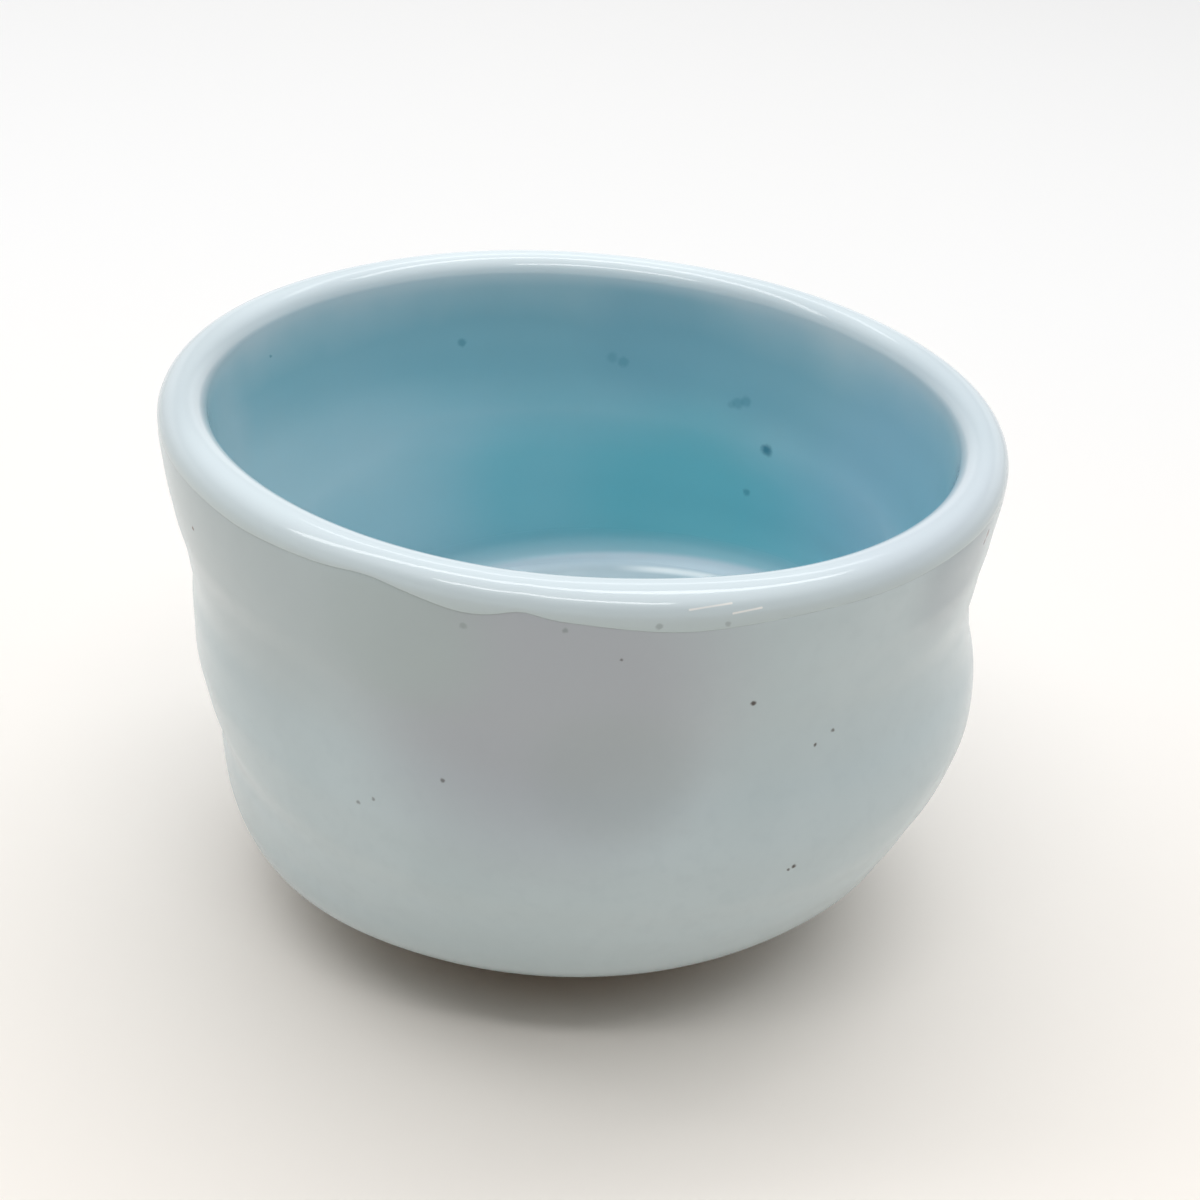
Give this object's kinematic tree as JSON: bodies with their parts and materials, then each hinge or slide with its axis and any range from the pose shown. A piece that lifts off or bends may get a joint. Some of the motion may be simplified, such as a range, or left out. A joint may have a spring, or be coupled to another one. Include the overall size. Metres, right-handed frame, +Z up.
{
  "type": "tea bowl",
  "caption": "Hand-thrown tea bowl with a rolled lip, a waisted wall leaning into a belly, a turned foot ring and pale blue glaze inside and out.",
  "frame": {"origin": "on the axis of the foot ring, on the plane that the bowl stands on", "axes": "+Z up through the mouth, -Y towards the side that faces the viewer, +X towards the side that the belly leans to"},
  "size_m": [0.1213, 0.1202, 0.0815],
  "materials": {
    "bare_clay": "unglazed brown stoneware, fine grained and matt",
    "outer_glaze": "glossy milky pale blue glaze with fine dark specks",
    "liner_glaze": "glossy pale blue glaze, thin and milky on the lip, pooling to a deeper blue-green inside"
  },
  "bodies": {
    "root": {"clay_body": "bare_clay", "foot_ring": "bare_clay", "outer_glaze": "outer_glaze", "liner_glaze": "liner_glaze"}
  },
  "joints": []
}
